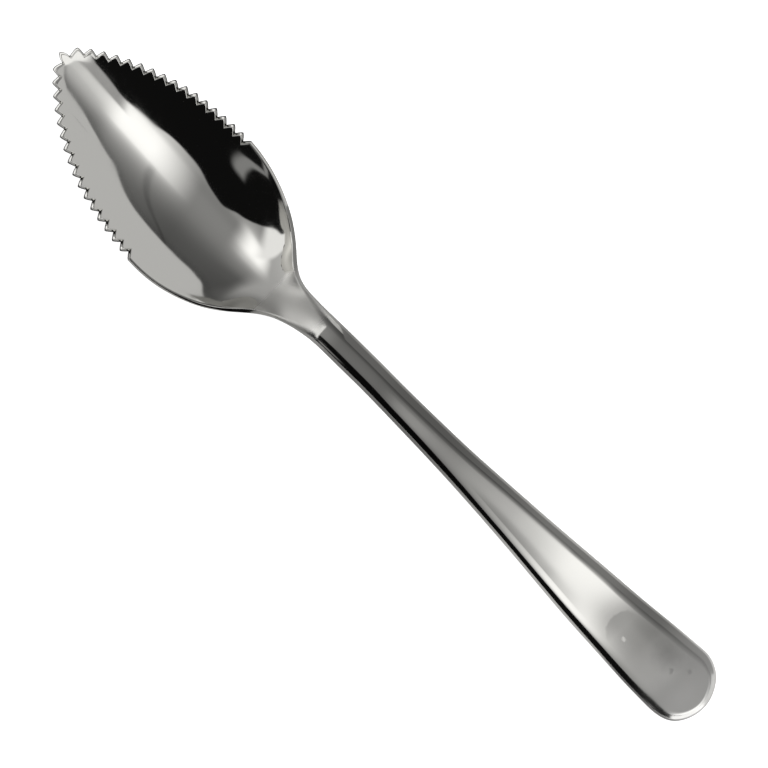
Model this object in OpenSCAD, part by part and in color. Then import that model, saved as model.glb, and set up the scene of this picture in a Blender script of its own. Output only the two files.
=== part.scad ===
// Grapefruit spoon, one blank of stainless steel that is cut, toothed and pressed to shape.
// X runs along the handle with the tip at minus X, Y runs across, and the spoon lies on Z = 0.
// The bowl and the end of the handle touch the table. Every piece here is a stretch of the
// same blank, so neighbours meet face to face on a shared section.

/* [Overall] */
// Length from the tip tooth to the end of the handle
overall_len = 160; // [145:1:190]
// Distance of the tip to one side of the handle's axis, as the press left it
tip_swing = 1.75; // [-2.5:0.05:2.5]
// Distance at the tip by which one rim lies back from the other
rim_lag = 2.1; // [-3:0.1:3]

/* [Bowl] */
// Length from the tip tooth to the throat behind the bowl
bowl_len = 62; // [56:1:70]
// Widest width over the rims
bowl_w = 30; // [26:0.5:34]
// Height of the rims over the bowl's underside at the widest place
bowl_rise = 6.9; // [4.5:0.1:9]
// Height of the tip over the bowl's underside
tip_rise = 8.4; // [3:0.05:9.5]
// Thickness of the sheet in the bowl
sheet_t = 0.85; // [0.6:0.05:1.2]
// Rounding of the rim's edges
rim_round = 0.2; // [0.05:0.01:0.3]

/* [Teeth] */
// Number of teeth on each side, besides the tip tooth
teeth_a_side = 16; // [8:1:18]
// Distance from tooth to tooth along the rim
tooth_pitch = 2.25; // [1.8:0.05:2.6]
// Depth of a notch between two teeth
tooth_depth = 1.05; // [0.5:0.05:1.3]
// Distance along the rim from the tip tooth to the next one
tip_tooth_pitch = 3.3; // [2.6:0.1:4]
// Depth of the notch on each side of the tip tooth
tip_tooth_depth = 1.35; // [0.8:0.05:1.8]
// Distance by which the cut flanks of the teeth lean in at the top face
tooth_lean = 0.2; // [0:0.05:0.4]

/* [Neck and shank] */
// Height of the shank's underside over the table
shank_rise = 8; // [6:0.1:14]
// Width of the shank
shank_w = 5.7; // [4.8:0.1:8]
// Thickness of the shank
shank_t = 2.9; // [2:0.1:4]
// Width of the rounding along the shank's upper edges
shank_round = 2; // [0.5:0.05:2.4]
// Distance from the throat back to the shoulder, where the channel of the neck ends
shoulder_back = 3; // [1.5:0.1:5]
// Depth of the channel in front of the shoulder
shoulder_h = 0.25; // [0.05:0.05:0.7]
// Length over which the shoulder climbs out of the channel
shoulder_len = 2; // [0.8:0.1:3]

/* [Handle] */
// Widest width near the end of the handle
handle_w = 13.85; // [10:0.1:18]
// Thickness at the end of the handle
handle_t = 2.1; // [1.4:0.05:2.6]
// Length of the rounded end, from the widest place to the very end
handle_end_len = 8.5; // [7:0.1:12]
// Width of the rounding along the upper edges at the end of the handle
handle_round = 2.4; // [0.2:0.05:2.6]
// Fall of the shank's top face from its middle to its edges
handle_crown = 0.3; // [0.05:0.05:0.4]

/* [Rest] */
// Depth to which the underside is flat where it touches the table
rest_depth = 0.12; // [0.05:0.01:0.2]

/* [Hidden] */

half_bowl_w = bowl_w / 2;
half_shank_w = shank_w / 2;
half_handle_w = handle_w / 2;
handle_len = overall_len - bowl_len - handle_end_len;
// How sharply the underside of the bowl curls up across, as a rise over a width squared
bowl_curl = bowl_rise / (half_bowl_w * half_bowl_w);
// A rounding leaves part of the half width flat
edge_width_share = 0.78;
shank_edge = min(shank_round, edge_width_share * half_shank_w);
handle_edge = min(handle_round, edge_width_share * half_handle_w);

// Stations of the bowl from the tip to the throat, as shares of
// bowl_len, half_bowl_w, tip_rise, shank_rise, bowl_curl, sheet_t, shank_t and tip_swing
bowl_shares = [
    [0.000, 0.000, 1.000, 0.000, 1.00, 1, 0.00, 1.000],
    [0.033, 0.235, 0.902, 0.000, 1.00, 1, 0.00, 0.950],
    [0.097, 0.447, 0.752, 0.000, 1.00, 1, 0.00, 0.760],
    [0.165, 0.617, 0.603, 0.000, 1.00, 1, 0.00, 0.555],
    [0.235, 0.753, 0.458, 0.000, 1.00, 1, 0.00, 0.355],
    [0.310, 0.863, 0.320, 0.000, 1.00, 1, 0.00, 0.177],
    [0.387, 0.936, 0.1925, 0.000, 1.00, 1, 0.00, 0.017],
    [0.471, 0.982, 0.0875, 0.000, 1.00, 1, 0.00, -0.154],
    [0.558, 1.000, 0.017, 0.000, 1.02, 1, 0.00, -0.330],
    [0.645, 0.962, 0.000, 0.001, 1.06, 1, 0.00, -0.500],
    [0.726, 0.862, 0.000, 0.068, 1.19, 1, 0.00, -0.590],
    [0.798, 0.716, 0.000, 0.218, 1.43, 1, 0.01, -0.640],
    [0.861, 0.520, 0.000, 0.416, 1.92, 1, 0.04, -0.655],
    [0.919, 0.326, 0.000, 0.637, 2.65, 1, 0.12, -0.615]
];

// Stations of the neck and the shank, as shares of
// handle_len behind the throat, half_shank_w, shank_rise, bowl_curl, shank_t, shank_round and tip_swing
neck_shares = [
    [-0.010, 1.210, 0.821, 0.30, 0.70, 0.40, -0.310],
    [0.029, 1.050, 0.950, 0.00, 0.93, 0.80, -0.090],
    [0.062, 1.005, 0.978, 0.00, 0.99, 0.98, 0.020],
    [0.112, 1.005, 0.994, 0.00, 1.00, 1.00, 0.055],
    [0.179, 1.000, 0.975, 0.00, 1.00, 1.00, 0.080],
    [0.246, 1.010, 0.925, 0.00, 1.00, 1.00, 0.045]
];

// Stations of the handle, as shares of handle_len behind the throat, of the way from shank width
// to handle width, of shank_rise, of the way from shank to handle thickness, of handle_crown, and
// of tip_swing. The top face is crowned on the shank, a little hollow in front of the end, and
// crowned again at the end
handle_shares = [
    [0.335, 0.045, 0.825, 0.12, 0.7, 0.010],
    [0.425, 0.110, 0.729, 0.28, 0.1, -0.015],
    [0.514, 0.225, 0.629, 0.45, -0.6, -0.020],
    [0.604, 0.360, 0.522, 0.60, -0.9, -0.045],
    [0.693, 0.520, 0.397, 0.73, -0.7, -0.080],
    [0.783, 0.680, 0.231, 0.83, -0.3, -0.090],
    [0.863, 0.795, 0.119, 0.91, 0.6, -0.050],
    [0.940, 0.925, 0.046, 0.97, 1.0, 0.035]
];

// Stations of the rounded end, as shares of handle_end_len, half_handle_w, shank_rise, handle_crown,
// tip_swing and handle_round
end_shares = [
    [0.000, 0.997, 0.006, 1.0, 0.125, 1.00],
    [0.330, 0.995, 0.001, 0.7, 0.165, 0.90],
    [0.670, 0.840, 0.000, 0.4, 0.040, 0.70],
    [0.915, 0.461, 0.000, 0.2, -0.030, 0.55],
    [1.000, 0.000, 0.000, 0.1, 0.000, 0.50]
];

// Stations in real sizes: place, half width, height of the underside, curl, thickness, rounding,
// crown, place of the axis to the side
bowl_stations = [for (s = bowl_shares) [
    s[0] * bowl_len,
    s[1] * half_bowl_w,
    s[2] * tip_rise + s[3] * shank_rise,
    s[4] * bowl_curl,
    s[5] * sheet_t + s[6] * shank_t,
    rim_round,
    0,
    s[7] * tip_swing]];
neck_stations = [for (s = neck_shares) [
    bowl_len + s[0] * handle_len,
    s[1] * half_shank_w,
    s[2] * shank_rise,
    s[3] * bowl_curl,
    s[4] * shank_t,
    s[5] * shank_edge,
    s[4] * handle_crown,
    s[6] * tip_swing]];
handle_stations = [for (s = handle_shares) [
    bowl_len + s[0] * handle_len,
    half_shank_w + s[1] * (half_handle_w - half_shank_w),
    s[2] * shank_rise,
    0,
    shank_t + s[3] * (handle_t - shank_t),
    shank_edge + s[3] * (handle_edge - shank_edge),
    s[4] * handle_crown,
    s[5] * tip_swing]];
end_stations = [for (s = end_shares) [
    overall_len - handle_end_len + s[0] * handle_end_len,
    s[1] * half_handle_w,
    s[2] * shank_rise,
    0,
    handle_t,
    s[5] * handle_edge,
    s[3] * handle_crown,
    s[4] * tip_swing]];
stations = concat(bowl_stations, neck_stations, handle_stations, end_stations);
throat = len(bowl_stations) - 1;
last = len(stations) - 1;

// Both ends are closed by carrying the outline on round to the other side
function other_side(s) = [s[0], -s[1], s[2], s[3], s[4], s[5], s[6], s[7]];
function closed_ends(s) = concat([other_side(s[1])], s, [other_side(s[len(s) - 2])]);

// Controls of the smooth curve that passes through the stations, found in a few passes
curve_passes = 12;
function controls(c, passes) =
    let (whole = closed_ends(c))
    passes == 0 ? whole
    : controls([for (i = [0 : last])
        c[i] + stations[i] - (whole[i] + 4 * c[i] + whole[i + 2]) / 6], passes - 1);
curve = controls(stations, curve_passes);

// The curve at place q, where whole numbers are the stations
function curve_at(q) =
    let (i = min(floor(q), last - 1), u = q - i, v = 1 - u)
    (v * v * v * curve[i]
        + (3 * u * u * u - 6 * u * u + 4) * curve[i + 1]
        + (3 * v * v * v - 6 * v * v + 4) * curve[i + 2]
        + u * u * u * curve[i + 3]) / 6;

// The curve in fine steps, and tables that look up one value from another
fine_step = 0.1;
fine = [for (q = [0 : fine_step : last]) curve_at(q)];
function table(k) = [for (f = fine) [f[0], f[k]]];
width_table = table(1);
underside_table = table(2);
curl_table = table(3);
thickness_table = table(4);
rounding_table = table(5);
crown_table = table(6);
axis_table = table(7);
function rim_step(i) =
    i < 1 || i >= len(fine) ? 0
    : norm([fine[i][0] - fine[i - 1][0], fine[i][1] - fine[i - 1][1]]);
rim_table = [for (i = 0, run = 0; i < len(fine); i = i + 1, run = run + rim_step(i)) [run, i * fine_step]];

// A step from 0 to 1 that starts and ends softly
function soft_step(u) = let (c = max(0, min(1, u))) c * c * (3 - 2 * c);

// Thickness of the steel at place x. The channel of the neck deepens slowly and ends in the shoulder
channel_share = 0.12;
shoulder_x = bowl_len + shoulder_back;
function channel(x) =
    soft_step((x - shoulder_x + channel_share * bowl_len) / (channel_share * bowl_len))
    * (1 - soft_step((x - shoulder_x) / shoulder_len));
function thickness(x) = lookup(x, thickness_table) - shoulder_h * channel(x);

// Height of the underside at a plan point, and the direction square to it
function underside(p) = lookup(p[0], underside_table) + lookup(p[0], curl_table) * p[1] * p[1];
slope_reach = bowl_len / 500;
function square_up(p) =
    let (
        ahead = [slope_reach, 0],
        aside = [0, slope_reach],
        along = (underside(p + ahead) - underside(p - ahead)) / (2 * slope_reach),
        across = (underside(p + aside) - underside(p - aside)) / (2 * slope_reach))
    [-along, -across, 1] / norm([-along, -across, 1]);

// A point in the steel over plan point p, at a height square to the underside
function in_steel(p, height) = [p[0], p[1], underside(p)] + square_up(p) * height;

// The bowl as its press left it: the axis swings to the side, and one rim lies back from the
// other at the tip, less and less towards the back of the bowl
lag_end_share = 0.8;
function pressed(p) =
    let (lag = rim_lag / bowl_w * max(0, 1 - p[0] / (lag_end_share * bowl_len)))
    [p[0] + p[1] * lag, p[1] + lookup(p[0], axis_table), p[2]];

// Outline point at place q, and the direction inwards from it
direction_reach = 0.02;
function outline(q) = let (c = curve_at(q)) [c[0], c[1]];
function inwards(q) =
    q < direction_reach ? [1, 0]
    : q > last - direction_reach ? [-1, 0]
    : let (d = outline(q + direction_reach) - outline(q - direction_reach)) [d[1], -d[0]] / norm(d);

// Rows across the blank, as place q on the outline, depth of the notch there and share of the lean.
// Tooth tips and notches take turns, then the smooth rim and the handle follow,
// and the teeth stand a little wider apart at the front
spread_share = 0.9;
function tooth_run(i) =
    let (spread = spread_share * (teeth_a_side - i) / pow(teeth_a_side - 1, 2))
    tip_tooth_pitch + tooth_pitch * (i - 1) * (1 + spread);
tip_tooth_rows = [[0, 0, 1], [lookup(tip_tooth_pitch / 2, rim_table), tip_tooth_depth, 1]];
side_tooth_rows = [for (i = [1 : teeth_a_side], half = [0, 1])
    [lookup(tooth_run(i + half / 2), rim_table), half * tooth_depth, 1]];
smooth_start = lookup(tooth_run(teeth_a_side + 1), rim_table);
rows_a_station = 3;
smooth_count = ceil((last - smooth_start) * rows_a_station);
smooth_step = (last - smooth_start) / smooth_count;
smooth_rows = [for (i = [0 : smooth_count]) [smooth_start + i * smooth_step, 0, 0]];
rows = concat(tip_tooth_rows, side_tooth_rows, smooth_rows);
serration_row = len(tip_tooth_rows) + len(side_tooth_rows);
function row_at(q) = serration_row + round((q - smooth_start) / smooth_step);

// The top face is crowned or hollow across. In the bowl it is neither
function crown_at(x) = let (crown = lookup(x, crown_table)) x < bowl_len ? max(0, crown) : crown;
// A rounding drops by a share of its width, as far as the thickness allows. The edges are
// rounded far down from the top and a little from below
drop_of_width_share = 0.8;
top_drop_share = 0.72;
low_drop_share = 0.24;
function edge_drop(x, share) =
    min(drop_of_width_share * lookup(x, rounding_table), share * (thickness(x) - max(0, crown_at(x))));

// One side of a row, as plan point and fall of the surface at the rounded edge.
// The arc of the edge comes first, then the face from the toothed strip to the axis
arc_steps = 2;
strip_share = 1.15;
strip_fade = 3;
tooth_strip = max(tooth_depth, tip_tooth_depth) + tooth_lean + 3 * rim_round;
face_shares = [1, 0.78, 0.54, 0.3, 0.1];
function half_row(row, on_top) =
    let (
        edge = outline(row[0]),
        into = inwards(row[0]),
        cut = edge + into * (row[1] + (on_top ? row[2] * tooth_lean : 0)),
        rounding = lookup(edge[0], rounding_table),
        low_drop = edge_drop(edge[0], low_drop_share),
        run = on_top ? rounding : low_drop,
        drop = on_top ? edge_drop(edge[0], top_drop_share) : low_drop,
        strip = max(strip_share * rounding, tooth_strip * soft_step((throat - row[0]) / strip_fade)),
        inner = edge + into * strip)
    concat(
        [for (k = [0 : arc_steps])
            let (turn = 90 * k / arc_steps)
            [cut + into * run * (1 - cos(turn)), drop * (1 - sin(turn))]],
        [for (share = face_shares) [[inner[0], inner[1] * share], 0]]);
function whole_row(row, on_top) =
    let (half = half_row(row, on_top), count = len(half), middle = [half[count - 1][0][0], 0])
    concat(
        [for (h = half) [[h[0][0], -h[0][1]], h[1]]],
        [[middle, 0]],
        [for (i = [count - 1 : -1 : 0]) half[i]]);

// Height of the top face over the underside, with its crown and its rounded edge
function top_height(p, fall) =
    let (
        across = min(1, abs(p[1]) / max(lookup(p[0], width_table), slope_reach)),
        square = across * across)
    thickness(p[0]) - fall - crown_at(p[0]) * square * (2 - square);

// Both faces of the whole blank as grids of rows and columns, with the axis at Y = 0
top_rows = [for (row = rows)
    [for (h = whole_row(row, true)) pressed(in_steel(h[0], top_height(h[0], h[1])))]];
low_rows = [for (row = rows) [for (h = whole_row(row, false)) pressed(in_steel(h[0], h[1]))]];
columns = len(top_rows[0]);

// The origin is under the middle of the spoon's outline, on the table
low_y = [for (row = low_rows, p = row) p[1]];
middle = [overall_len / 2, (min(low_y) + max(low_y)) / 2, rest_depth];
function placed_top(p) = p - middle;
function placed_low(p) = let (m = p - middle) [m[0], m[1], max(m[2], 0)];

// Two triangles between four corners, leaving out those that have shrunk to a line
same_point = 0.00001 * overall_len;
function triangle(points, f) =
    norm(points[f[0]] - points[f[1]]) > same_point
    && norm(points[f[1]] - points[f[2]]) > same_point
    && norm(points[f[2]] - points[f[0]]) > same_point ? [f] : [];
function quad(points, a, b, c, d) = concat(triangle(points, [a, b, c]), triangle(points, [a, c, d]));

// The stretch of the blank between two rows, as one closed solid
module stretch(first, end) {
    count = end - first + 1;
    half = count * columns;
    points = concat(
        [for (i = [first : end], p = top_rows[i]) placed_top(p)],
        [for (i = [first : end], p = low_rows[i]) placed_low(p)]);
    tops = [for (i = [0 : count - 2], j = [0 : columns - 2])
        let (a = i * columns + j)
        each quad(points, a, a + 1, a + 1 + columns, a + columns)];
    low_faces = [for (i = [0 : count - 2], j = [0 : columns - 2])
        let (a = half + i * columns + j)
        each quad(points, a, a + columns, a + 1 + columns, a + 1)];
    edges = [for (i = [0 : count - 2])
        let (a = i * columns, b = a + columns - 1)
        each concat(
            quad(points, a, a + columns, a + columns + half, a + half),
            quad(points, b, b + half, b + columns + half, b + columns))];
    first_cap = [for (j = [0 : columns - 2])
        each first == 0 ? [] : quad(points, j, j + half, j + 1 + half, j + 1)];
    end_cap = [for (j = [0 : columns - 2])
        let (a = (count - 1) * columns + j)
        each end == len(rows) - 1 ? [] : quad(points, a, a + 1, a + 1 + half, a + half)];
    polyhedron(points, concat(tops, low_faces, edges, first_cap, end_cap));
}

// Places of the cuts between the pieces, in stations
neck_start = throat + 0.6;
neck_end = throat + 2.6;
shank_end = throat + 7;
handle_end_start = last - 4;

module tip_tooth() color("gainsboro") stretch(0, 1);
module serrated_front() color("silver") stretch(1, serration_row);
module bowl_back() color("lightgray") stretch(serration_row, row_at(neck_start));
module neck() color("darkgray") stretch(row_at(neck_start), row_at(neck_end));
module shank() color("silver") stretch(row_at(neck_end), row_at(shank_end));
module handle() color("lightgray") stretch(row_at(shank_end), row_at(handle_end_start));
module handle_end() color("silver") stretch(row_at(handle_end_start), len(rows) - 1);

tip_tooth();
serrated_front();
bowl_back();
neck();
shank();
handle();
handle_end();
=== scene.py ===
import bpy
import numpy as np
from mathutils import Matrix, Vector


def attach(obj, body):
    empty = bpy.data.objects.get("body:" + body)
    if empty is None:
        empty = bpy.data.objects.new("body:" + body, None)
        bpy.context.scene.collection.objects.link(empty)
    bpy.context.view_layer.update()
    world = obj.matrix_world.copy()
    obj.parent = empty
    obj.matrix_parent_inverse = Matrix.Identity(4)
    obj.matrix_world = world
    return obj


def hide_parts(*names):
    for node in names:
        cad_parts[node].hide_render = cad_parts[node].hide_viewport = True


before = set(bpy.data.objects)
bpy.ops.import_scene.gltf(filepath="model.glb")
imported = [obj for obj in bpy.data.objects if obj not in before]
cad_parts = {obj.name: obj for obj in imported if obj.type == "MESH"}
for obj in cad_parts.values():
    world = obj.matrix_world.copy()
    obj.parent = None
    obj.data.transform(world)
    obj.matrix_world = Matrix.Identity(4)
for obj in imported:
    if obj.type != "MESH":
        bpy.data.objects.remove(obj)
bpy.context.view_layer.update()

# Grapefruit spoon: one blank of stainless steel, cut with teeth, pressed and mirror polished.
# The flat blank starts as a grid with one row for each tooth tip, notch and station. It is
# pulled to its thickness, and each of its points is then pressed to the spoon's shape, the
# shape that the part's source gives, because no edit by hand keeps a mirror this smooth.

MM = 0.001

# ---------------------------------------------------------------- sizes, in mm, as in the part's source
OVERALL_LEN = 160
TIP_SWING = 1.75
RIM_LAG = 2.1
BOWL_LEN = 62
BOWL_W = 30
BOWL_RISE = 6.9
TIP_RISE = 8.4
SHEET_T = 0.85
RIM_ROUND = 0.2
TEETH_A_SIDE = 16
TOOTH_PITCH = 2.25
TOOTH_DEPTH = 1.05
TIP_TOOTH_PITCH = 3.3
TIP_TOOTH_DEPTH = 1.35
TOOTH_LEAN = 0.2
SHANK_RISE = 8
SHANK_W = 5.7
SHANK_T = 2.9
SHANK_ROUND = 2
SHOULDER_BACK = 3
SHOULDER_H = 0.25
SHOULDER_LEN = 2
HANDLE_W = 13.85
HANDLE_T = 2.1
HANDLE_END_LEN = 8.5
HANDLE_ROUND = 2.4
HANDLE_CROWN = 0.3
REST_DEPTH = 0.12

# Shares, as in the part's source
TIP_SPREAD = 0.9
LAG_REACH = 0.8
CHANNEL_RUN_IN = 0.12
DROP_OF_WIDTH = 0.8
TOP_DROP = 0.72
LOW_DROP = 0.24
STRIP_OVER_ROUND = 1.15

HALF_BOWL_W = BOWL_W / 2
HALF_SHANK_W = SHANK_W / 2
HALF_HANDLE_W = HANDLE_W / 2
HANDLE_LEN = OVERALL_LEN - BOWL_LEN - HANDLE_END_LEN
BOWL_CURL = BOWL_RISE / HALF_BOWL_W ** 2
FINE_STEP = BOWL_LEN / 500

# Shares of bowl_len, half bowl_w, tip_rise, shank_rise, bowl_curl, sheet_t, shank_t, tip_swing
BOWL_SHARES = [
    [0.000, 0.000, 1.000, 0.000, 1.00, 1, 0.00, 1.000],
    [0.033, 0.235, 0.902, 0.000, 1.00, 1, 0.00, 0.950],
    [0.097, 0.447, 0.752, 0.000, 1.00, 1, 0.00, 0.760],
    [0.165, 0.617, 0.603, 0.000, 1.00, 1, 0.00, 0.555],
    [0.235, 0.753, 0.458, 0.000, 1.00, 1, 0.00, 0.355],
    [0.310, 0.863, 0.320, 0.000, 1.00, 1, 0.00, 0.177],
    [0.387, 0.936, 0.1925, 0.000, 1.00, 1, 0.00, 0.017],
    [0.471, 0.982, 0.0875, 0.000, 1.00, 1, 0.00, -0.154],
    [0.558, 1.000, 0.017, 0.000, 1.02, 1, 0.00, -0.330],
    [0.645, 0.962, 0.000, 0.001, 1.06, 1, 0.00, -0.500],
    [0.726, 0.862, 0.000, 0.068, 1.19, 1, 0.00, -0.590],
    [0.798, 0.716, 0.000, 0.218, 1.43, 1, 0.01, -0.640],
    [0.861, 0.520, 0.000, 0.416, 1.92, 1, 0.04, -0.655],
    [0.919, 0.326, 0.000, 0.637, 2.65, 1, 0.12, -0.615]]
# Shares of handle_len behind the throat, half shank_w, shank_rise, bowl_curl, shank_t, shank_round,
# tip_swing
NECK_SHARES = [
    [-0.010, 1.210, 0.821, 0.30, 0.70, 0.40, -0.310],
    [0.029, 1.050, 0.950, 0.00, 0.93, 0.80, -0.090],
    [0.062, 1.005, 0.978, 0.00, 0.99, 0.98, 0.020],
    [0.112, 1.005, 0.994, 0.00, 1.00, 1.00, 0.055],
    [0.179, 1.000, 0.975, 0.00, 1.00, 1.00, 0.080],
    [0.246, 1.010, 0.925, 0.00, 1.00, 1.00, 0.045]]
# Shares of handle_len, of the way to handle_w, of shank_rise, of the way to handle_t, of
# handle_crown and of tip_swing. The top face is a little hollow in front of the end
HANDLE_SHARES = [
    [0.335, 0.045, 0.825, 0.12, 0.7, 0.010],
    [0.425, 0.110, 0.729, 0.28, 0.1, -0.015],
    [0.514, 0.225, 0.629, 0.45, -0.6, -0.020],
    [0.604, 0.360, 0.522, 0.60, -0.9, -0.045],
    [0.693, 0.520, 0.397, 0.73, -0.7, -0.080],
    [0.783, 0.680, 0.231, 0.83, -0.3, -0.090],
    [0.863, 0.795, 0.119, 0.91, 0.6, -0.050],
    [0.940, 0.925, 0.046, 0.97, 1.0, 0.035]]
# Shares of handle_end_len, half handle_w, shank_rise, handle_crown, tip_swing and handle_round
END_SHARES = [
    [0.000, 0.997, 0.006, 1.0, 0.125, 1.00],
    [0.330, 0.995, 0.001, 0.7, 0.165, 0.90],
    [0.670, 0.840, 0.000, 0.4, 0.040, 0.70],
    [0.915, 0.461, 0.000, 0.2, -0.030, 0.55],
    [1.000, 0.000, 0.000, 0.1, 0.000, 0.50]]

# A station holds place, half width, height of the underside, curl, thickness, rounding, crown,
# and place of the axis to the side
STATIONS = np.array(
    [[s[0] * BOWL_LEN, s[1] * HALF_BOWL_W, s[2] * TIP_RISE + s[3] * SHANK_RISE, s[4] * BOWL_CURL,
      s[5] * SHEET_T + s[6] * SHANK_T, RIM_ROUND, 0, s[7] * TIP_SWING]
     for s in BOWL_SHARES]
    + [[BOWL_LEN + s[0] * HANDLE_LEN, s[1] * HALF_SHANK_W, s[2] * SHANK_RISE, s[3] * BOWL_CURL,
        s[4] * SHANK_T, s[5] * SHANK_ROUND, s[4] * HANDLE_CROWN, s[6] * TIP_SWING]
       for s in NECK_SHARES]
    + [[BOWL_LEN + s[0] * HANDLE_LEN, HALF_SHANK_W + s[1] * (HALF_HANDLE_W - HALF_SHANK_W),
        s[2] * SHANK_RISE, 0, SHANK_T + s[3] * (HANDLE_T - SHANK_T),
        SHANK_ROUND + s[3] * (HANDLE_ROUND - SHANK_ROUND), s[4] * HANDLE_CROWN, s[5] * TIP_SWING]
       for s in HANDLE_SHARES]
    + [[OVERALL_LEN - HANDLE_END_LEN + s[0] * HANDLE_END_LEN, s[1] * HALF_HANDLE_W, s[2] * SHANK_RISE,
        0, HANDLE_T, s[5] * HANDLE_ROUND, s[3] * HANDLE_CROWN, s[4] * TIP_SWING]
       for s in END_SHARES])
THROAT = len(BOWL_SHARES) - 1
LAST = len(STATIONS) - 1


# ---------------------------------------------------------------- the smooth curve through the stations
def closed_ends(c):
    """Both ends are closed by carrying the outline on round to the other side."""
    flip = np.array([1, -1, 1, 1, 1, 1, 1, 1])
    return np.vstack([c[1] * flip, c, c[-2] * flip])


CORRECTIONS = 12
controls = STATIONS.copy()
for _ in range(CORRECTIONS):
    whole = closed_ends(controls)
    controls = controls + STATIONS - (whole[:-2] + 4 * controls + whole[2:]) / 6
CURVE = closed_ends(controls)


def curve_at(q):
    """The curve at places q, where whole numbers are the stations."""
    q = np.atleast_1d(q).astype(float)
    i = np.clip(np.floor(q).astype(int), 0, LAST - 1)
    u = (q - i)[:, None]
    v = 1 - u
    return (v ** 3 * CURVE[i] + (3 * u ** 3 - 6 * u ** 2 + 4) * CURVE[i + 1]
            + (3 * v ** 3 - 6 * v ** 2 + 4) * CURVE[i + 2] + u ** 3 * CURVE[i + 3]) / 6


PLACES_A_STATION = 60
FINE_Q = np.linspace(0, LAST, LAST * PLACES_A_STATION + 1)
FINE = curve_at(FINE_Q)
RIM_RUN = np.concatenate([[0], np.cumsum(np.hypot(np.diff(FINE[:, 0]), np.diff(FINE[:, 1])))])


def look(x, k):
    """Column k of the curve at x."""
    return np.interp(x, FINE[:, 0], FINE[:, k])


def place_at_run(run):
    """The place on the curve at a distance along the rim from the tip."""
    return np.interp(run, RIM_RUN, FINE_Q)


def soft_step(u):
    """A soft rise from 0 to 1, with level ends."""
    c = np.clip(u, 0, 1)
    return c * c * (3 - 2 * c)


def thickness(x):
    """The channel of the neck deepens slowly and ends in the shoulder."""
    shoulder = BOWL_LEN + SHOULDER_BACK
    run_in = CHANNEL_RUN_IN * BOWL_LEN
    deepens = soft_step((x - shoulder + run_in) / run_in)
    ends_there = soft_step((x - shoulder) / SHOULDER_LEN)
    return look(x, 4) - SHOULDER_H * deepens * (1 - ends_there)


def underside(x, y):
    """Height of the underside over the table."""
    return look(x, 2) + look(x, 3) * y * y


def square_up(x, y):
    """The direction square to the underside."""
    e = FINE_STEP
    along = (underside(x + e, y) - underside(x - e, y)) / (2 * e)
    across = (underside(x, y + e) - underside(x, y - e)) / (2 * e)
    n = np.stack([-along, -across, np.ones_like(along)], -1)
    return n / np.linalg.norm(n, axis=-1, keepdims=True)


def crown_at(x):
    """Fall of the top face to its edges, or rise where it is hollow. The bowl has neither."""
    return np.where(x < BOWL_LEN, np.maximum(0, look(x, 6)), look(x, 6))


def edge_drop(x, share):
    """Drop of an edge's rounding, which takes no more than a share of the thickness."""
    return np.minimum(DROP_OF_WIDTH * look(x, 5), share * (thickness(x) - np.maximum(0, crown_at(x))))


def pressed(x, y, height):
    """A point in the steel over plan point x, y, as the press leaves it."""
    p = np.stack([x, y, underside(x, y)], -1) + square_up(x, y) * height[..., None]
    lag = RIM_LAG / BOWL_W * np.maximum(0, 1 - p[..., 0] / (LAG_REACH * BOWL_LEN))
    return np.stack([p[..., 0] + p[..., 1] * lag, p[..., 1] + look(p[..., 0], 7), p[..., 2]], -1)


# ---------------------------------------------------------------- rows across the blank
def tooth_run(i):
    """Distance along the rim from the tip to the notch in front of tooth i."""
    spread = TIP_SPREAD * (TEETH_A_SIDE - i) / (TEETH_A_SIDE - 1) ** 2
    return TIP_TOOTH_PITCH + TOOTH_PITCH * (i - 1) * (1 + spread)


FLANK_STEPS = 4
TIP_SOFTNESS = 0.16


def flank(start, end, depth, falling):
    """Rows down a tooth's flank, or up it. The tip is a little rounded and the notch is sharp."""
    steps = np.arange(FLANK_STEPS) / FLANK_STEPS
    t = steps if falling else 1 - steps
    cut = (np.hypot(t, TIP_SOFTNESS) - TIP_SOFTNESS) / (np.hypot(1, TIP_SOFTNESS) - TIP_SOFTNESS)
    return [(place_at_run(start + s * (end - start)), depth * c) for s, c in zip(steps, cut)]


rows = flank(0, TIP_TOOTH_PITCH / 2, TIP_TOOTH_DEPTH, True)
cuts = {"tip_tooth": len(rows)}
rows += flank(TIP_TOOTH_PITCH / 2, TIP_TOOTH_PITCH, TIP_TOOTH_DEPTH, False)
for tooth in range(1, TEETH_A_SIDE + 1):
    rows += flank(tooth_run(tooth), tooth_run(tooth + 0.5), TOOTH_DEPTH, True)
    rows += flank(tooth_run(tooth + 0.5), tooth_run(tooth + 1), TOOTH_DEPTH, False)
cuts["serrated_front"] = len(rows)
smooth_start = float(place_at_run(tooth_run(TEETH_A_SIDE + 1)))
STEPS_A_STATION = 3
SMOOTH_COUNT = int(np.ceil((LAST - smooth_start) * STEPS_A_STATION))
SMOOTH_STEP = (LAST - smooth_start) / SMOOTH_COUNT
CUT_PLACES = {"bowl_back": THROAT + 0.6, "neck": THROAT + 2.6, "shank": THROAT + 7, "handle": LAST - 4}
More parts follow.
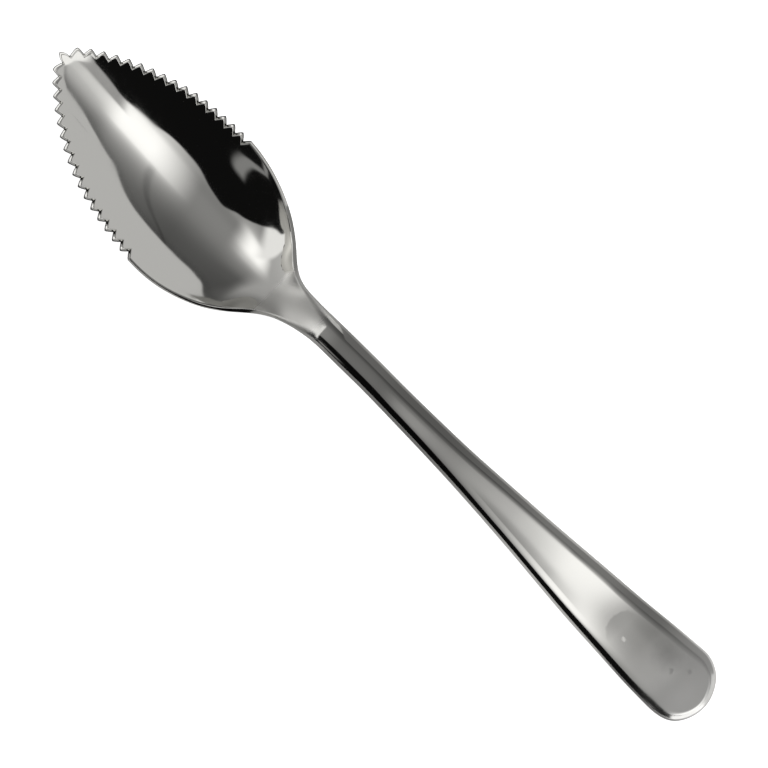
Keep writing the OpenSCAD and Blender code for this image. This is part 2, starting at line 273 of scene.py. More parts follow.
# Rows stand closer at the shoulder
SHOULDER_START, SHOULDER_END = THROAT + 0.9, THROAT + 3.4
SHOULDER_ROWS = 12
PLAIN_ROWS = 4
cut_steps = {name: round((q - smooth_start) / SMOOTH_STEP) for name, q in CUT_PLACES.items()}
for i in range(SMOOTH_COUNT):
    q = smooth_start + i * SMOOTH_STEP
    for name, step in cut_steps.items():
        if step == i:
            cuts[name] = len(rows)
    count = SHOULDER_ROWS if SHOULDER_START < q < SHOULDER_END else PLAIN_ROWS
    rows += [(q + SMOOTH_STEP * k / count, 0) for k in range(count)]
rows.append((LAST, 0))
cuts["handle_end"] = len(rows) - 1
ROW_Q = np.array([r[0] for r in rows], float)
ROW_CUT = np.array([r[1] for r in rows], float)

# ---------------------------------------------------------------- points of every row
ARC_STEPS = 7
STRIP_STEPS = 3
FACE_STEPS = 15
edge = curve_at(ROW_Q)[:, :2]
# Direction into the blank, square to its edge
REACH = 0.02
way = (curve_at(np.minimum(ROW_Q + REACH, LAST)) - curve_at(np.maximum(ROW_Q - REACH, 0)))[:, :2]
into = np.stack([way[:, 1], -way[:, 0]], -1)
into[ROW_Q < REACH] = [1, 0]
into[ROW_Q > LAST - REACH] = [-1, 0]
into /= np.linalg.norm(into, axis=1, keepdims=True)
rounding = look(edge[:, 0], 5)
top_drop, low_drop = edge_drop(edge[:, 0], TOP_DROP), edge_drop(edge[:, 0], LOW_DROP)
# Each row keeps an even strip behind its rounding, wide enough for the teeth
STRIP_FADE = 3
tooth_strip = max(TOOTH_DEPTH, TIP_TOOTH_DEPTH) + TOOTH_LEAN + 3 * RIM_ROUND
strip = np.maximum(STRIP_OVER_ROUND * rounding, tooth_strip * soft_step((THROAT - ROW_Q) / STRIP_FADE))
inner = edge + into * strip[:, None]


def plan_of_rows(lean, run, drop):
    """Plan points of all rows and the fall of the rounded edge, for a face cut back by the lean."""
    cut = edge + into * (ROW_CUT + lean)[:, None]
    half, falls = [], []
    for k in range(ARC_STEPS + 1):
        turn = np.pi / 2 * k / ARC_STEPS
        half.append(cut + into * (run * (1 - np.cos(turn)))[:, None])
        falls.append(drop * (1 - np.sin(turn)))
    for k in range(1, STRIP_STEPS + 1):
        half.append(half[ARC_STEPS] + (inner - half[ARC_STEPS]) * k / STRIP_STEPS)
        falls.append(drop * 0)
    for k in range(1, FACE_STEPS):
        half.append(inner * np.array([1, 1 - k / FACE_STEPS]))
        falls.append(drop * 0)
    half, falls = np.stack(half, 1), np.stack(falls, 1)
    middle = inner[:, None, :] * np.array([1, 0])
    plan = np.concatenate([half * np.array([1, -1]), middle, half[:, ::-1]], 1)
    return plan[..., 0], plan[..., 1], np.concatenate([falls, drop[:, None] * 0, falls[:, ::-1]], 1)


toothed = np.arange(len(rows)) < cuts["serrated_front"]
X, Y, fall = plan_of_rows(TOOTH_LEAN * toothed, rounding, top_drop)
across = np.minimum(1, np.abs(Y) / np.maximum(look(X, 1), FINE_STEP))
top = pressed(X, Y, thickness(X) - fall - crown_at(X) * across ** 2 * (2 - across ** 2))
X, Y, fall = plan_of_rows(np.zeros(len(rows)), low_drop, low_drop)
low = pressed(X, Y, fall)
side = (low[..., 1].min() + low[..., 1].max()) / 2
top = (top - [OVERALL_LEN / 2, side, REST_DEPTH]) * MM
low = (low - [OVERALL_LEN / 2, side, REST_DEPTH]) * MM
low[..., 2] = np.maximum(low[..., 2], 0)
ROWS, COLUMNS = top.shape[:2]


# ---------------------------------------------------------------- tools
def tidy_selection():
    """Leaves edit mode and deselects everything."""
    if bpy.context.object and bpy.context.object.mode != "OBJECT":
        bpy.ops.object.mode_set(mode="OBJECT")
    bpy.ops.object.select_all(action="DESELECT")


def pick(obj):
    """Selects one object alone."""
    tidy_selection()
    obj.select_set(True)
    bpy.context.view_layer.objects.active = obj


def paint(hex_colour):
    """An sRGB hex colour as linear red, green, blue and alpha."""
    parts = [int(hex_colour[i:i + 2], 16) / 255 for i in (1, 3, 5)]
    return [c / 12.92 if c <= 0.04045 else ((c + 0.055) / 1.055) ** 2.4 for c in parts] + [1]


def node(tree, kind, inputs=None, **settings):
    """Adds a node. Settings are its properties, and inputs are sockets to link or values to set."""
    n = tree.nodes.new(kind)
    for key, value in settings.items():
        setattr(n, key, value)
    for key, value in (inputs or {}).items():
        open_sockets = [s for s in n.inputs if s.enabled]
        socket = open_sockets[key] if isinstance(key, int) else next(s for s in open_sockets if s.name == key)
        if isinstance(value, bpy.types.NodeSocket):
            tree.links.new(value, socket)
        else:
            socket.default_value = value
    return n


def inside(tree, *edges, soft=True):
    """1 past all the edges and 0 before any of them. An edge says what it runs along, where it
    starts and where it ends."""
    shape = "SMOOTHSTEP" if soft else "LINEAR"
    share = None
    for way, start, end in edges:
        passed = node(tree, "ShaderNodeMapRange", {"Value": way, "From Min": start, "From Max": end},
                      interpolation_type=shape)
        if share is None:
            share = passed
        else:
            share = node(tree, "ShaderNodeMath", {0: share.outputs[0], 1: passed.outputs[0]}, operation="MULTIPLY")
    return share.outputs[0]


def lay(tree, under, over, *edges, soft=True):
    """Lays a level over what is there, inside its edges."""
    mixed = node(tree, "ShaderNodeMix", {"Factor": inside(tree, *edges, soft=soft), "A": under, "B": over},
                 data_type="FLOAT")
    return mixed.outputs[0]


# ---------------------------------------------------------------- the blank
tidy_selection()
bpy.ops.mesh.primitive_grid_add(x_subdivisions=ROWS - 1, y_subdivisions=COLUMNS - 1, size=1)
blank = bpy.context.object
blank.name = "blank"
bpy.ops.object.mode_set(mode="EDIT")
bpy.ops.mesh.select_all(action="SELECT")
bpy.ops.transform.translate(value=(0.5, 0.5, 0))
bpy.ops.transform.resize(value=(ROWS - 1, COLUMNS - 1, 1), center_override=(0, 0, 0))
# Two pulls, so that the cut edge has an upper and a lower strip
bpy.ops.mesh.extrude_region_move(TRANSFORM_OT_translate={"value": (0, 0, -0.5)})
bpy.ops.mesh.extrude_region_move(TRANSFORM_OT_translate={"value": (0, 0, -0.5)})
bpy.ops.object.mode_set(mode="OBJECT")
mesh = blank.data
flat = np.empty(len(mesh.vertices) * 3, np.float32)
mesh.vertices.foreach_get("co", flat)
flat = flat.reshape(-1, 3)
row, column = np.rint(flat[:, :2]).astype(int).T
# The upper strip of a cut edge takes SMOOTH_CUT of its height
SMOOTH_CUT = 0.62
depth = np.interp(-flat[:, 2], [0, 0.5, 1], [0, SMOOTH_CUT, 1])[:, None]
shaped = top[row, column] * (1 - depth) + low[row, column] * depth
mesh.vertices.foreach_set("co", shaped.astype(np.float32).ravel())

# Each face keeps the number of its stretch, so that the spoon can be taken apart again
STRETCHES = ["tip_tooth", "serrated_front", "bowl_back", "neck", "shank", "handle", "handle_end"]
face_row = np.array([min(row[v] for v in p.vertices) for p in mesh.polygons])
limits = [cuts[name] for name in STRETCHES]
stretch_of_face = np.searchsorted(limits, face_row, side="right").clip(0, len(STRETCHES) - 1)
mesh.attributes.new("stretch", "INT", "FACE").data.foreach_set("value", stretch_of_face.astype(np.int32))
# The lower strip between the teeth is where the sheet sheared
face_top = np.array([min(depth[v, 0] for v in p.vertices) for p in mesh.polygons])
face_low = np.array([max(depth[v, 0] for v in p.vertices) for p in mesh.polygons])
sheared = (face_top > 0) & (face_top < 1) & (face_low == 1) & (face_row < cuts["serrated_front"])
mesh.attributes.new("sheared", "INT", "FACE").data.foreach_set("value", sheared.astype(np.int32))
mesh.update()
# At the tip and at the end both halves of a row lie on the axis, so no wall belongs there
folded = np.array([len({row[v] for v in p.vertices}) == 1 for p in mesh.polygons])
pick(blank)
bpy.ops.object.mode_set(mode="EDIT")
bpy.ops.mesh.select_mode(type="FACE")
bpy.ops.mesh.select_all(action="DESELECT")
bpy.ops.object.mode_set(mode="OBJECT")
mesh.polygons.foreach_set("select", folded)
bpy.ops.object.mode_set(mode="EDIT")
bpy.ops.mesh.delete(type="ONLY_FACE")
bpy.ops.mesh.select_mode(type="VERT")
bpy.ops.mesh.select_all(action="SELECT")
bpy.ops.mesh.remove_doubles(threshold=0.002 * MM)
bpy.ops.mesh.dissolve_degenerate(threshold=0.001 * MM)
bpy.ops.mesh.normals_make_consistent(inside=False)
bpy.ops.object.mode_set(mode="OBJECT")
SHARP_FROM = np.radians(32)
bpy.ops.object.shade_smooth_by_angle(angle=SHARP_FROM)
# The shading of the whole spoon is kept, so that no seam shows where it is taken apart
shading = np.empty(len(mesh.loops) * 3, np.float32)
mesh.corner_normals.foreach_get("vector", shading)
mesh.attributes.new("shading", "FLOAT_VECTOR", "CORNER").data.foreach_set("vector", shading)


# ---------------------------------------------------------------- steel
def polished_stainless_steel():
    """Stainless steel 18/8, ground, then polished with fine paste on a cotton wheel. It gives a
    clear mirror that is softer on the handle and satin in the neck, with faint hairlines from
    use, washing haze in patches, a few tiny pits and a few marks of use on the handle. Its
    tone also holds painted shade on the stem and before the end, and a painted glint at one pit."""
    m = bpy.data.materials.new("polished_stainless_steel")
    m.use_nodes = True
    t = m.node_tree
    t.nodes.clear()
    place = node(t, "ShaderNodeTexCoord").outputs["Object"]
    split = node(t, "ShaderNodeSeparateXYZ", {0: place})
    along, aside = split.outputs["X"], split.outputs["Y"]
    # Starts in the neck and is full from the end of the stem on
    on_handle = (along, -20 * MM, 25 * MM)
    # The end is rubbed by the hand, so it is less clear, and its tone is paler, which lifts its reflections
    on_end = inside(t, (along, 64 * MM, 76 * MM))
    # The wheel doesn't reach into the neck, which stays satin
    in_neck = inside(t, (along, -25.8 * MM, -23.2 * MM), (along, -11.8 * MM, -17.5 * MM))

    # Hairlines: 0.05 mm wide and 4 mm long, drawn at two slants
    lines = []
    for slant in (0.25, -0.5):
        turned = node(t, "ShaderNodeMapping",
                      {"Rotation": (0, 0, slant), "Scale": (250, 9000, 250), "Vector": place})
        hair = node(t, "ShaderNodeTexNoise",
                    {"Scale": 1.0, "Detail": 2.0, "Roughness": 0.5, "Vector": turned.outputs[0]})
        lines.append(inside(t, (hair.outputs[0], 0.66, 0.82), soft=False))
    hairlines = node(t, "ShaderNodeMath", {0: lines[0], 1: lines[1]}, operation="MAXIMUM")
    # Haze: patches about 8 mm wide
    haze = node(t, "ShaderNodeTexNoise", {"Scale": 120.0, "Detail": 4.0, "Roughness": 0.62, "Vector": place})

    # How rough: the wheel's finish, the neck and the end, then haze and hairlines
    rough = lay(t, 0.04, 0.08, on_handle, soft=False)
    hazy = lay(t, 0.0, 0.05, (haze.outputs[0], 0.42, 0.75), soft=False)
    for share, rougher in ((on_end, 0.12), (in_neck, 0.4), (hazy, 1.0), (hairlines.outputs[0], 0.05)):
        rough = node(t, "ShaderNodeMath", {0: share, 1: rougher, 2: rough}, operation="MULTIPLY_ADD").outputs[0]

    # Relief: a ripple of a few thousandths of a millimetre, 3 mm long, that the wheel leaves,
    # then the hairlines and pits 0.15 mm wide, a few on the handle
    ripple = node(t, "ShaderNodeTexNoise", {"Scale": 330.0, "Detail": 1.0, "Vector": place})
    pits = node(t, "ShaderNodeTexVoronoi", {"Scale": 160.0, "Randomness": 1.0, "Vector": place})
    pit = inside(t, (pits.outputs["Distance"], 0.03, 0.012), on_handle, soft=False)
    relief = ripple.outputs[0]
    for share, rise in ((hairlines.outputs[0], -0.35), (pit, -6.0)):
        relief = node(t, "ShaderNodeMath", {0: share, 1: rise, 2: relief}, operation="MULTIPLY_ADD").outputs[0]
    bump = node(t, "ShaderNodeBump", {"Strength": 0.25, "Distance": 0.004 * MM, "Height": relief})

    # Painted shade: the stem's tone is a shade darker than the rest, which darkens its reflections,
    # and so is a patch in front of the end. Places are in mm from the middle of the spoon
    half = OVERALL_LEN / 2
    painted_shade_curve = node(t, "ShaderNodeFloatCurve", {"Value": inside(t, (along, -half * MM, half * MM), soft=False)})
    spots = [(-80, 0), (-14, 0), (-9, 0.7), (-3, 0.72), (5, 0.95), (13, 1), (22, 0.85), (32, 0.5), (44, 0.12),
             (51, 0.15), (56, 0.45), (60, 0.6), (66, 0.3), (74, 0), (80, 0)]
    line = painted_shade_curve.mapping.curves[0]
    while len(line.points) < len(spots):
        line.points.new(0.5, 0.5)
    for point, (x, share) in zip(line.points, spots):
        point.location = ((x + half) / OVERALL_LEN, share)
    painted_shade_curve.mapping.update()
    # The painted shade of the patch is fainter on the -Y half, and on the stem it is full all the way across
    shade_across = lay(t, 0.3, 1.0, (aside, -5 * MM, 0.5 * MM))
    by_stem = inside(t, (along, 50 * MM, 40 * MM), soft=False)
    how_wide = node(t, "ShaderNodeMath", {0: shade_across, 1: by_stem}, operation="MAXIMUM")
    painted_shade = node(t, "ShaderNodeMath", {0: painted_shade_curve.outputs[0], 1: how_wide.outputs[0]}, operation="MULTIPLY")
    tone = paint("#D3D2CE")
    for share, hex_colour in ((painted_shade.outputs[0], "#9C9B98"), (on_end, "#EFEEEB")):
        mixed = node(t, "ShaderNodeMix", {"Factor": share, "A": tone, "B": paint(hex_colour)}, data_type="RGBA")
        tone = next(s for s in mixed.outputs if s.enabled)

    # Marks of use on the handle, in mm. Their edges wander by up to 0.6 mm to each side
    wander = 1.2 * MM
    flat = node(t, "ShaderNodeCombineXYZ", {"X": along, "Y": aside})
    drift = node(t, "ShaderNodeTexNoise", {"Scale": 900.0, "Detail": 3.0, "Vector": flat.outputs[0]})
    stray = node(t, "ShaderNodeVectorMath", {0: drift.outputs["Color"], "Scale": wander}, operation="SCALE")
    spread = node(t, "ShaderNodeVectorMath", {0: flat.outputs[0], 1: stray.outputs[0]}, operation="ADD")

    def mark(x, y, inner, outer, *edges):
        """1 within inner of the place and 0 from outer on, inside further edges."""
        centre = (x * MM + wander / 2, y * MM + wander / 2, wander / 2)
        off = node(t, "ShaderNodeVectorMath", {0: spread.outputs[0], 1: centre}, operation="DISTANCE")
        return inside(t, (off.outputs["Value"], outer * MM, inner * MM), *edges, soft=False)

    # A dried film with a crisp edge, a fingermark behind it, two dark pits and a painted glint at a third
    film = mark(60.9, 0.5, 3.3, 3.7, (along, 60.2 * MM, 57.8 * MM))
    finger = mark(69.1, 2.6, 0.8, 3.4)
    pit_a, pit_b = mark(71.4, 1.2, 0.2, 0.6), mark(73.7, 3.3, 0.2, 0.6)
    painted_glint_pit = mark(61.6, -0.7, 0.1, 0.5)
    # The painted glint lifts the tone, the others darken it
    for share, darker in ((film, 0.24), (finger, 0.2), (pit_a, 0.22), (pit_b, 0.15), (painted_glint_pit, -0.6)):
        strength = node(t, "ShaderNodeMath", {0: share, 1: -darker, 2: 1.0}, operation="MULTIPLY_ADD")
        scaled = node(t, "ShaderNodeVectorMath", {0: tone, "Scale": strength.outputs[0]}, operation="SCALE")
        tone = scaled.outputs[0]
    steel = node(t, "ShaderNodeBsdfPrincipled",
                 {"Base Color": tone, "Metallic": 1.0, "Roughness": rough, "Normal": bump.outputs[0]})
    node(t, "ShaderNodeOutputMaterial", {"Surface": steel.outputs[0]})
    return m


def sheared_steel_and_painted_shade():
    """The lower part of a punched edge, where the sheet tore off instead of being cut. Its torn
    grain is real, but its very dark tone is painted shade, which gives the teeth a matt grey
    outline under a bright cut edge."""
    m = bpy.data.materials.new("sheared_steel_and_painted_shade")
    m.use_nodes = True
    t = m.node_tree
    t.nodes.clear()
    place = node(t, "ShaderNodeTexCoord").outputs["Object"]
    # Torn grain 0.06 mm wide
    grain = node(t, "ShaderNodeTexNoise", {"Scale": 16000.0, "Detail": 3.0, "Vector": place})
    # Painted shade: the tone is kept far darker than steel, so that the outline reads dark
    tone = lay(t, 0.04, 0.09, (grain.outputs[0], 0.3, 0.7), soft=False)
    grey = node(t, "ShaderNodeCombineColor", {"Red": tone, "Green": tone, "Blue": tone})
    torn = node(t, "ShaderNodeBump", {"Strength": 0.6, "Distance": 0.01 * MM, "Height": grain.outputs[0]})
    steel = node(t, "ShaderNodeBsdfPrincipled",
                 {"Base Color": grey.outputs[0], "Metallic": 1.0, "Roughness": 0.45, "Normal": torn.outputs[0]})
    node(t, "ShaderNodeOutputMaterial", {"Surface": steel.outputs[0]})
    return m


blank.data.materials.clear()
blank.data.materials.append(polished_stainless_steel())
blank.data.materials.append(sheared_steel_and_painted_shade())
# The sheared strip takes the steel whose dark tone is painted shade
torn_and_shaded_faces = np.empty(len(mesh.polygons), np.int32)
mesh.attributes["sheared"].data.foreach_get("value", torn_and_shaded_faces)
mesh.polygons.foreach_set("material_index", torn_and_shaded_faces)
mesh.attributes.remove(mesh.attributes["sheared"])

# ---------------------------------------------------------------- the spoon is taken apart at its stretches
for number, name in enumerate(STRETCHES):
    pick(blank)
    bpy.ops.object.duplicate()
    piece = bpy.context.object
    piece.name = name + "_steel"
    stretch = np.empty(len(piece.data.polygons), np.int32)
    piece.data.attributes["stretch"].data.foreach_get("value", stretch)
    bpy.ops.object.mode_set(mode="EDIT")
    bpy.ops.mesh.select_mode(type="FACE")
    bpy.ops.object.mode_set(mode="OBJECT")
    piece.data.polygons.foreach_set("select", stretch != number)
    bpy.ops.object.mode_set(mode="EDIT")
    bpy.ops.mesh.delete(type="FACE")
    bpy.ops.mesh.select_mode(type="EDGE")
    bpy.ops.mesh.select_all(action="SELECT")
    bpy.ops.mesh.region_to_loop()
    bpy.ops.mesh.edge_face_add()
    bpy.ops.object.mode_set(mode="OBJECT")
    kept = np.empty(len(piece.data.loops) * 3, np.float32)
    piece.data.attributes["shading"].data.foreach_get("vector", kept)
    piece.data.attributes.remove(piece.data.attributes["shading"])
    piece.data.attributes.remove(piece.data.attributes["stretch"])
    piece.data.normals_split_custom_set(kept.reshape(-1, 3))
    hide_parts(name)
    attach(piece, "root")
tidy_selection()
bpy.data.objects.remove(blank, do_unlink=True)


# ---------------------------------------------------------------- studio
def studio_room():
    """The room that the mirror shows, on the plane of slopes: u and v are what a level camera
    above would find in a polished bowl whose steel leans by those slopes. The levels show a
    pale wall on the +Y side, a dark one on the -Y side, a soft box towards +X,
    another towards -X, and a grey ceiling."""
    world = bpy.data.worlds.new("studio_room")
    bpy.context.scene.world = world
    world.use_nodes = True
    t = world.node_tree
    t.nodes.clear()
    way = node(t, "ShaderNodeTexCoord").outputs["Generated"]
    split = node(t, "ShaderNodeSeparateXYZ", {0: way})
    # The extra thousandth keeps the point straight below off a division by nothing
    over = node(t, "ShaderNodeMath", {0: split.outputs["Z"], 1: 1.001}, operation="ADD").outputs[0]
    u = node(t, "ShaderNodeMath", {0: split.outputs["X"], 1: over}, operation="DIVIDE").outputs[0]
    v = node(t, "ShaderNodeMath", {0: split.outputs["Y"], 1: over}, operation="DIVIDE").outputs[0]

    def line_over(source, points):
        """A smooth line through the given points, over the source. Its heights lie between -2 and 2."""
        low, high = points[0][0], points[-1][0]
        n = node(t, "ShaderNodeFloatCurve", {"Value": inside(t, (source, low, high), soft=False)})
        line = n.mapping.curves[0]
        while len(line.points) < len(points):
            line.points.new(0.5, 0.5)
        for spot, (a, b) in zip(line.points, points):
            spot.location = ((a - low) / (high - low), (b + 2) / 4)
        n.mapping.update()
        return node(t, "ShaderNodeMath", {0: n.outputs[0], 1: 4.0, 2: -2.0}, operation="MULTIPLY_ADD").outputs[0]

    def above(a, b):
        """How far a lies above b."""
        return node(t, "ShaderNodeMath", {0: a, 1: b}, operation="SUBTRACT").outputs[0]

    def apart(a, b):
        """How far a and b are apart."""
        return node(t, "ShaderNodeMath", {0: above(a, b)}, operation="ABSOLUTE").outputs[0]

    def shaded(level, depth, *edges):
        """Darkens what is there by a share, inside its edges."""
        darker = node(t, "ShaderNodeMath", {0: level, 1: 1 - depth}, operation="MULTIPLY")
        return lay(t, level, darker.outputs[0], *edges)

    # Ceiling, in five strips from +X to -X, each with its own levels over v. The levels were set
    # with a measuring script's list of the picture's tones over (u, v) at hand, then tuned
    level = line_over(v, [(-0.6, 0.30), (-0.3, 0.37), (-0.25, 0.30), (-0.1, 0.32), (0.0, 0.31), (0.1, 0.27),
                          (0.2, 0.20), (0.3, 0.145), (0.4, 0.12), (0.5, 0.11), (0.6, 0.10), (1.2, 0.10)])
    lamp_side = line_over(v, [(-0.6, 0.8), (-0.3, 0.9), (-0.25, 1.2), (-0.2, 1.5), (0.0, 1.5), (0.05, 1.02),
                              (0.1, 0.64), (0.15, 0.46), (0.2, 0.35), (0.3, 0.23), (0.4, 0.17), (0.5, 0.16),
                              (1.2, 0.16)])
    level = lay(t, level, lamp_side, (u, 0.055, 0.205))
    beyond_lamp = line_over(v, [(-0.6, 0.45), (-0.2, 0.47), (-0.14, 0.47), (-0.12, 0.58), (-0.09, 0.8),
                                (-0.04, 0.8), (0.0, 0.7), (0.05, 0.6), (0.1, 0.45), (0.15, 0.31), (0.2, 0.24),
                                (0.3, 0.24), (1.2, 0.28)])
    level = lay(t, level, beyond_lamp, (u, 0.235, 0.285))
    level = lay(t, level, 0.44, (u, 0.228, 0.25), (v, -0.115, -0.145))
    window_side = line_over(v, [(-0.6, 0.35), (-0.4, 0.5), (-0.3, 1.3), (-0.25, 1.5), (-0.15, 1.5), (-0.1, 1.3),
                                (-0.05, 0.96), (0.0, 0.71), (0.05, 0.46), (0.1, 0.34), (0.2, 0.23), (0.3, 0.145),
                                (0.4, 0.12), (0.5, 0.105), (1.2, 0.10)])
    level = lay(t, level, window_side, (u, -0.13, -0.33))
    far_end = line_over(v, [(-1.2, 0.62), (-0.6, 0.62), (-0.4, 0.57), (-0.2, 0.53), (0.0, 0.51), (0.2, 0.49),
                            (0.3, 0.47), (0.4, 0.44), (0.5, 0.36), (0.6, 0.27), (0.7, 0.18), (0.8, 0.12),
                            (1.2, 0.10)])
    level = lay(t, level, far_end, (u, -0.39, -0.57))
    # Window light on the far end, above the dark wall
    slant = node(t, "ShaderNodeMath", {0: u, 1: 1.6, 2: 0.47}, operation="MULTIPLY_ADD").outputs[0]
    level = lay(t, level, 1.15, (above(slant, v), -0.03, 0.08), (u, -0.34, -0.42))
    # Dark gap at the very end of the room
    level = lay(t, level, 0.1, (u, -0.68, -0.72), (apart(v, 0.0), 0.3, 0.2))
    # Thin dark joint in the lamp's frame
    joint = line_over(v, [(-0.1, 0.18), (0.0, 0.175), (0.2, 0.17), (0.37, 0.14), (0.48, 0.084), (0.53, 0.055)])
    level = shaded(level, 0.28, (apart(u, joint), 0.014, 0.004), (v, 0.0, 0.12))
    # Pale wall with a crisp lower edge, and a shade under it. A measuring script worked out most
    # points of this edge and of the dark wall's, from places picked along them in the picture
    wall_edge = line_over(u, [(-1.0, 1.34), (-0.8, 1.16), (-0.6, 0.985), (-0.507, 0.874), (-0.426, 0.761),
                              (-0.337, 0.652), (-0.265, 0.612), (-0.168, 0.572), (-0.032, 0.553), (0.065, 0.545),
                              (0.124, 0.53), (0.178, 0.494), (0.22, 0.415), (0.245, 0.328), (0.26, 0.287),
                              (0.281, 0.252), (0.292, 0.22), (0.298, 0.187), (0.305, 0.15), (0.36, 0.0)])
    under_wall = above(wall_edge, v)
    level = shaded(level, 0.22, (under_wall, 0.1, 0.0))
    level = lay(t, level, 0.66, (under_wall, 0.01, -0.012))
    # Dark wall with a ragged upper edge
    dark_edge = line_over(u, [(-1.0, -1.4), (-0.8, -1.12), (-0.61, -0.875), (-0.456, -0.66), (-0.36, -0.53),
                              (-0.28, -0.45), (-0.202, -0.385), (-0.154, -0.35), (-0.108, -0.322),
                              (-0.062, -0.276), (-0.03, -0.251), (0.01, -0.257), (0.053, -0.285),
                              (0.086, -0.327), (0.13, -0.338), (0.158, -0.335), (0.19, -0.312), (0.21, -0.275),
                              (0.23, -0.238), (0.25, -0.222), (0.262, -0.24), (0.28, -0.25), (0.36, -0.25)])
    level = lay(t, level, 0.006, (above(dark_edge, v), -0.012, 0.012))
    # A lit chair in the dark part of the room
    chair_line = line_over(v, [(-0.98, -0.42), (-0.9, -0.24), (-0.85, -0.13), (-0.8, -0.06), (-0.75, -0.035),
                               (-0.6, -0.035)])
    level = lay(t, level, 0.3, (apart(u, chair_line), 0.05, 0.015), (apart(v, -0.76), 0.17, 0.1))
    # White paper all round, low over the table
    from_above = node(t, "ShaderNodeCombineXYZ", {"X": u, "Y": v})
    from_above = node(t, "ShaderNodeVectorMath", {0: from_above.outputs[0]}, operation="LENGTH")
    level = lay(t, level, 1.3, (from_above.outputs["Value"], 0.97, 1.0))
    # Lamp low on the +X side, which only the teeth at the tip show
    lamp_edge = line_over(v, [(-0.45, 0.3), (-0.3, 0.284), (-0.25, 0.274), (-0.15, 0.285), (-0.1, 0.31),
                              (0.0, 0.33), (0.06, 0.36)])
    level = lay(t, level, 1.3, (above(u, lamp_edge), -0.004, 0.008), (v, -0.33, -0.28), (v, 0.1, 0.04))

    # The camera sees plain white behind the paper
    lamp = node(t, "ShaderNodeLightPath")
    seen = node(t, "ShaderNodeMath", {0: lamp.outputs["Is Camera Ray"], 1: lamp.outputs["Is Transmission Ray"]},
                operation="MAXIMUM")
    room = node(t, "ShaderNodeBackground", {"Color": paint("#FFFFFF"), "Strength": level})
    plain = node(t, "ShaderNodeBackground", {"Color": paint("#FFFFFF"), "Strength": 1.0})
    mixed = node(t, "ShaderNodeMixShader", {0: seen.outputs[0], 1: room.outputs[0], 2: plain.outputs[0]})
    node(t, "ShaderNodeOutputWorld", {"Surface": mixed.outputs[0]})


studio_room()


def pale_paper():
    """Matt white paper roll under the spoon. The camera sees it white with the spoon's shadow.
    The steel sees a painted reflection on it instead: a glow, grey in a few shades from bowl to
    end, and white past the tip."""
    m = bpy.data.materials.new("white_paper_roll")
    m.use_nodes = True
    t = m.node_tree
    t.nodes.clear()
    lamp = node(t, "ShaderNodeLightPath")
    seen = node(t, "ShaderNodeMath", {0: lamp.outputs["Is Camera Ray"], 1: lamp.outputs["Is Transmission Ray"]},
                operation="MAXIMUM")
    lift = node(t, "ShaderNodeMath", {0: seen.outputs[0], 1: 0.75}, operation="MULTIPLY")
    paper = node(t, "ShaderNodeBsdfDiffuse", {"Color": paint("#EFEFEF")})
    glow = node(t, "ShaderNodeEmission", {"Color": paint("#FFFFFF"), "Strength": lift.outputs[0]})
    both = node(t, "ShaderNodeAddShader", {0: paper.outputs[0], 1: glow.outputs[0]})

    # Painted reflections: glow levels that only the steel sees. Each has its level and its edges along X and Y, in
    # mm
    place = node(t, "ShaderNodeSeparateXYZ", {0: node(t, "ShaderNodeTexCoord").outputs["Object"]})
    shade = 0.62
    for level, edges in ((0.45, [("X", -12, -20)]),
                         (1.3, [("X", -76, -82)]),
                         (0.42, [("X", -55, -48), ("X", -4, -12), ("Y", 0, 4)]),
                         (0.4, [("X", -40, -34), ("X", 26, 12), ("Y", 0, -4)]),
                         (0.2, [("X", 60, 66), ("X", 84, 78), ("Y", 0, -4)])):
        edges = [(place.outputs[axis], start * MM, end * MM) for axis, start, end in edges]
        shade = lay(t, shade, level, *edges, soft=False)
    in_steel = node(t, "ShaderNodeEmission", {"Color": paint("#FFFFFF"), "Strength": shade})
    shown = node(t, "ShaderNodeMixShader",
                 {0: lamp.outputs["Is Glossy Ray"], 1: both.outputs[0], 2: in_steel.outputs[0]})
    node(t, "ShaderNodeOutputMaterial", {"Surface": shown.outputs[0]})
    return m


# The paper lies a hair below the spoon
PAPER_SIZE = 30
PAPER_GAP = 0.02 * MM
tidy_selection()
bpy.ops.mesh.primitive_plane_add(size=PAPER_SIZE, location=(0, 0, -PAPER_GAP))
floor = bpy.context.object
floor.name = "paper_floor"
floor.data.materials.append(pale_paper())


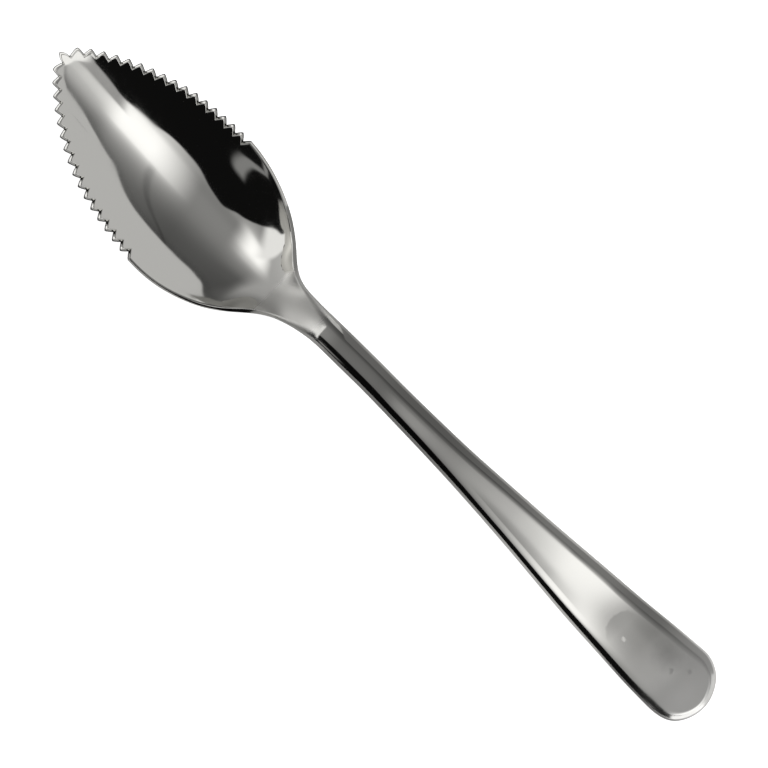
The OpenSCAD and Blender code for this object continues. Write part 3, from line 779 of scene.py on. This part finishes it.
def card(name, level, place, size, turn):
    """A flat card that only the steel shows. Place and size are in mm."""
    tidy_selection()
    bpy.ops.mesh.primitive_plane_add(size=1, location=[a * MM for a in place])
    board = bpy.context.object
    board.name = name
    bpy.ops.transform.resize(value=(size[0] * MM, size[1] * MM, 1))
    board.rotation_euler = turn
    m = bpy.data.materials.new(name + "_board")
    m.use_nodes = True
    t = m.node_tree
    t.nodes.clear()
    glow = node(t, "ShaderNodeEmission", {"Color": paint("#FFFFFF"), "Strength": level})
    node(t, "ShaderNodeOutputMaterial", {"Surface": glow.outputs[0]})
    board.data.materials.append(m)
    for ray in ("camera", "diffuse", "shadow", "transmission", "volume_scatter"):
        setattr(board, "visible_" + ray, False)


# A low grey card along the +Y side of the handle, which gives its upper edge a grey line
card("grey_card", 0.27, (47.5, 55, 40), (125, 80), (np.pi / 2, 0, 0))
# A small white card over the shoulder, which gives the shoulder its bright corner
card("shoulder_card", 1.1, (-23.6, -22, 40), (9, 58), (0, 0, 0.142))
# A white card off the end, towards -Y, which ends the dark line along the edge
card("end_card", 1.1, (113, -29, 26), (46, 50), (np.pi / 2, 0, 0.96))


def key_light():
    """A large soft lamp high on the +Y side. The steel doesn't show it, as it shows the room."""
    tidy_selection()
    bpy.ops.object.light_add(type="AREA", location=(0.5, 1.2, 1.6))  # metres
    lamp = bpy.context.object
    lamp.name = "key_light"
    lamp.data.size = 0.9
    lamp.data.energy = 22
    lamp.rotation_euler = (Vector((0, 0, 0)) - lamp.location).to_track_quat("-Z", "Y").to_euler()
    lamp.visible_glossy = False


key_light()

# ---------------------------------------------------------------- camera, straight overhead and rolled
CAMERA_HEIGHT = 2.5
FOCUS_HEIGHT = 6 * MM
SENSOR = 36
PX_PER_MM = 5.752
FRAME_PX = 768
ROLL = np.radians(44.9)
AIM = (0.67 * MM, 1.25 * MM)
tidy_selection()
bpy.ops.object.camera_add(location=(AIM[0], AIM[1], CAMERA_HEIGHT), rotation=(0, 0, ROLL))
camera = bpy.context.object
camera.data.sensor_width = SENSOR
camera.data.lens = SENSOR * (CAMERA_HEIGHT - FOCUS_HEIGHT) / (FRAME_PX / PX_PER_MM * MM)
camera.data.clip_end = 100
bpy.context.scene.camera = camera
bpy.context.scene.view_settings.view_transform = "Standard"
